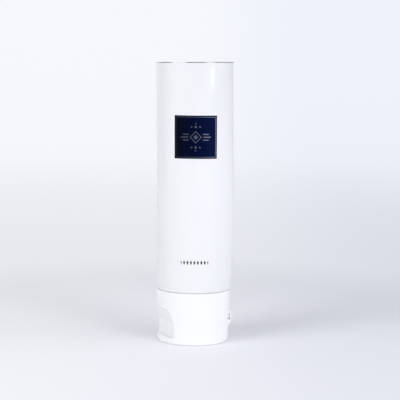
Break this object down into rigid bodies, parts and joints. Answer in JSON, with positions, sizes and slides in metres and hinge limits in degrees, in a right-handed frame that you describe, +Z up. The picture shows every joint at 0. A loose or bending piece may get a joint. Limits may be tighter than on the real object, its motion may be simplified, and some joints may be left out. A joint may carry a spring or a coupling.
{
  "type": "cosmetic plastic tube",
  "caption": "Round white squeeze tube with an open, unsealed end, standing on a flip-top screw cap with a thumb recess and a living hinge.",
  "frame": {"origin": "centre of the lid's flat face, on which the tube stands", "axes": "+Z up along the tube's axis towards its open end, -Y towards the printed front, +X to the right of it"},
  "size_m": [0.0419, 0.0402, 0.151],
  "materials": {
    "sleeve_white": "satin",
    "head_white": "matte",
    "cap_white": "satin"
  },
  "bodies": {
    "tube": {"tube_sleeve": "sleeve_white", "tube_head": "head_white", "cap_body": "cap_white", "hinge_strap": "cap_white"},
    "lid": {"cap_lid": "cap_white"}
  },
  "joints": [
    {"name": "lid_hinge", "type": "hinge", "parent": "tube", "child": "lid", "pos_m": [0.0192, 0.00737, 0.0109], "axis": [0.3584, -0.9336, 0], "range_deg": [0, 175], "deforming": ["hinge_strap"]}
  ]
}
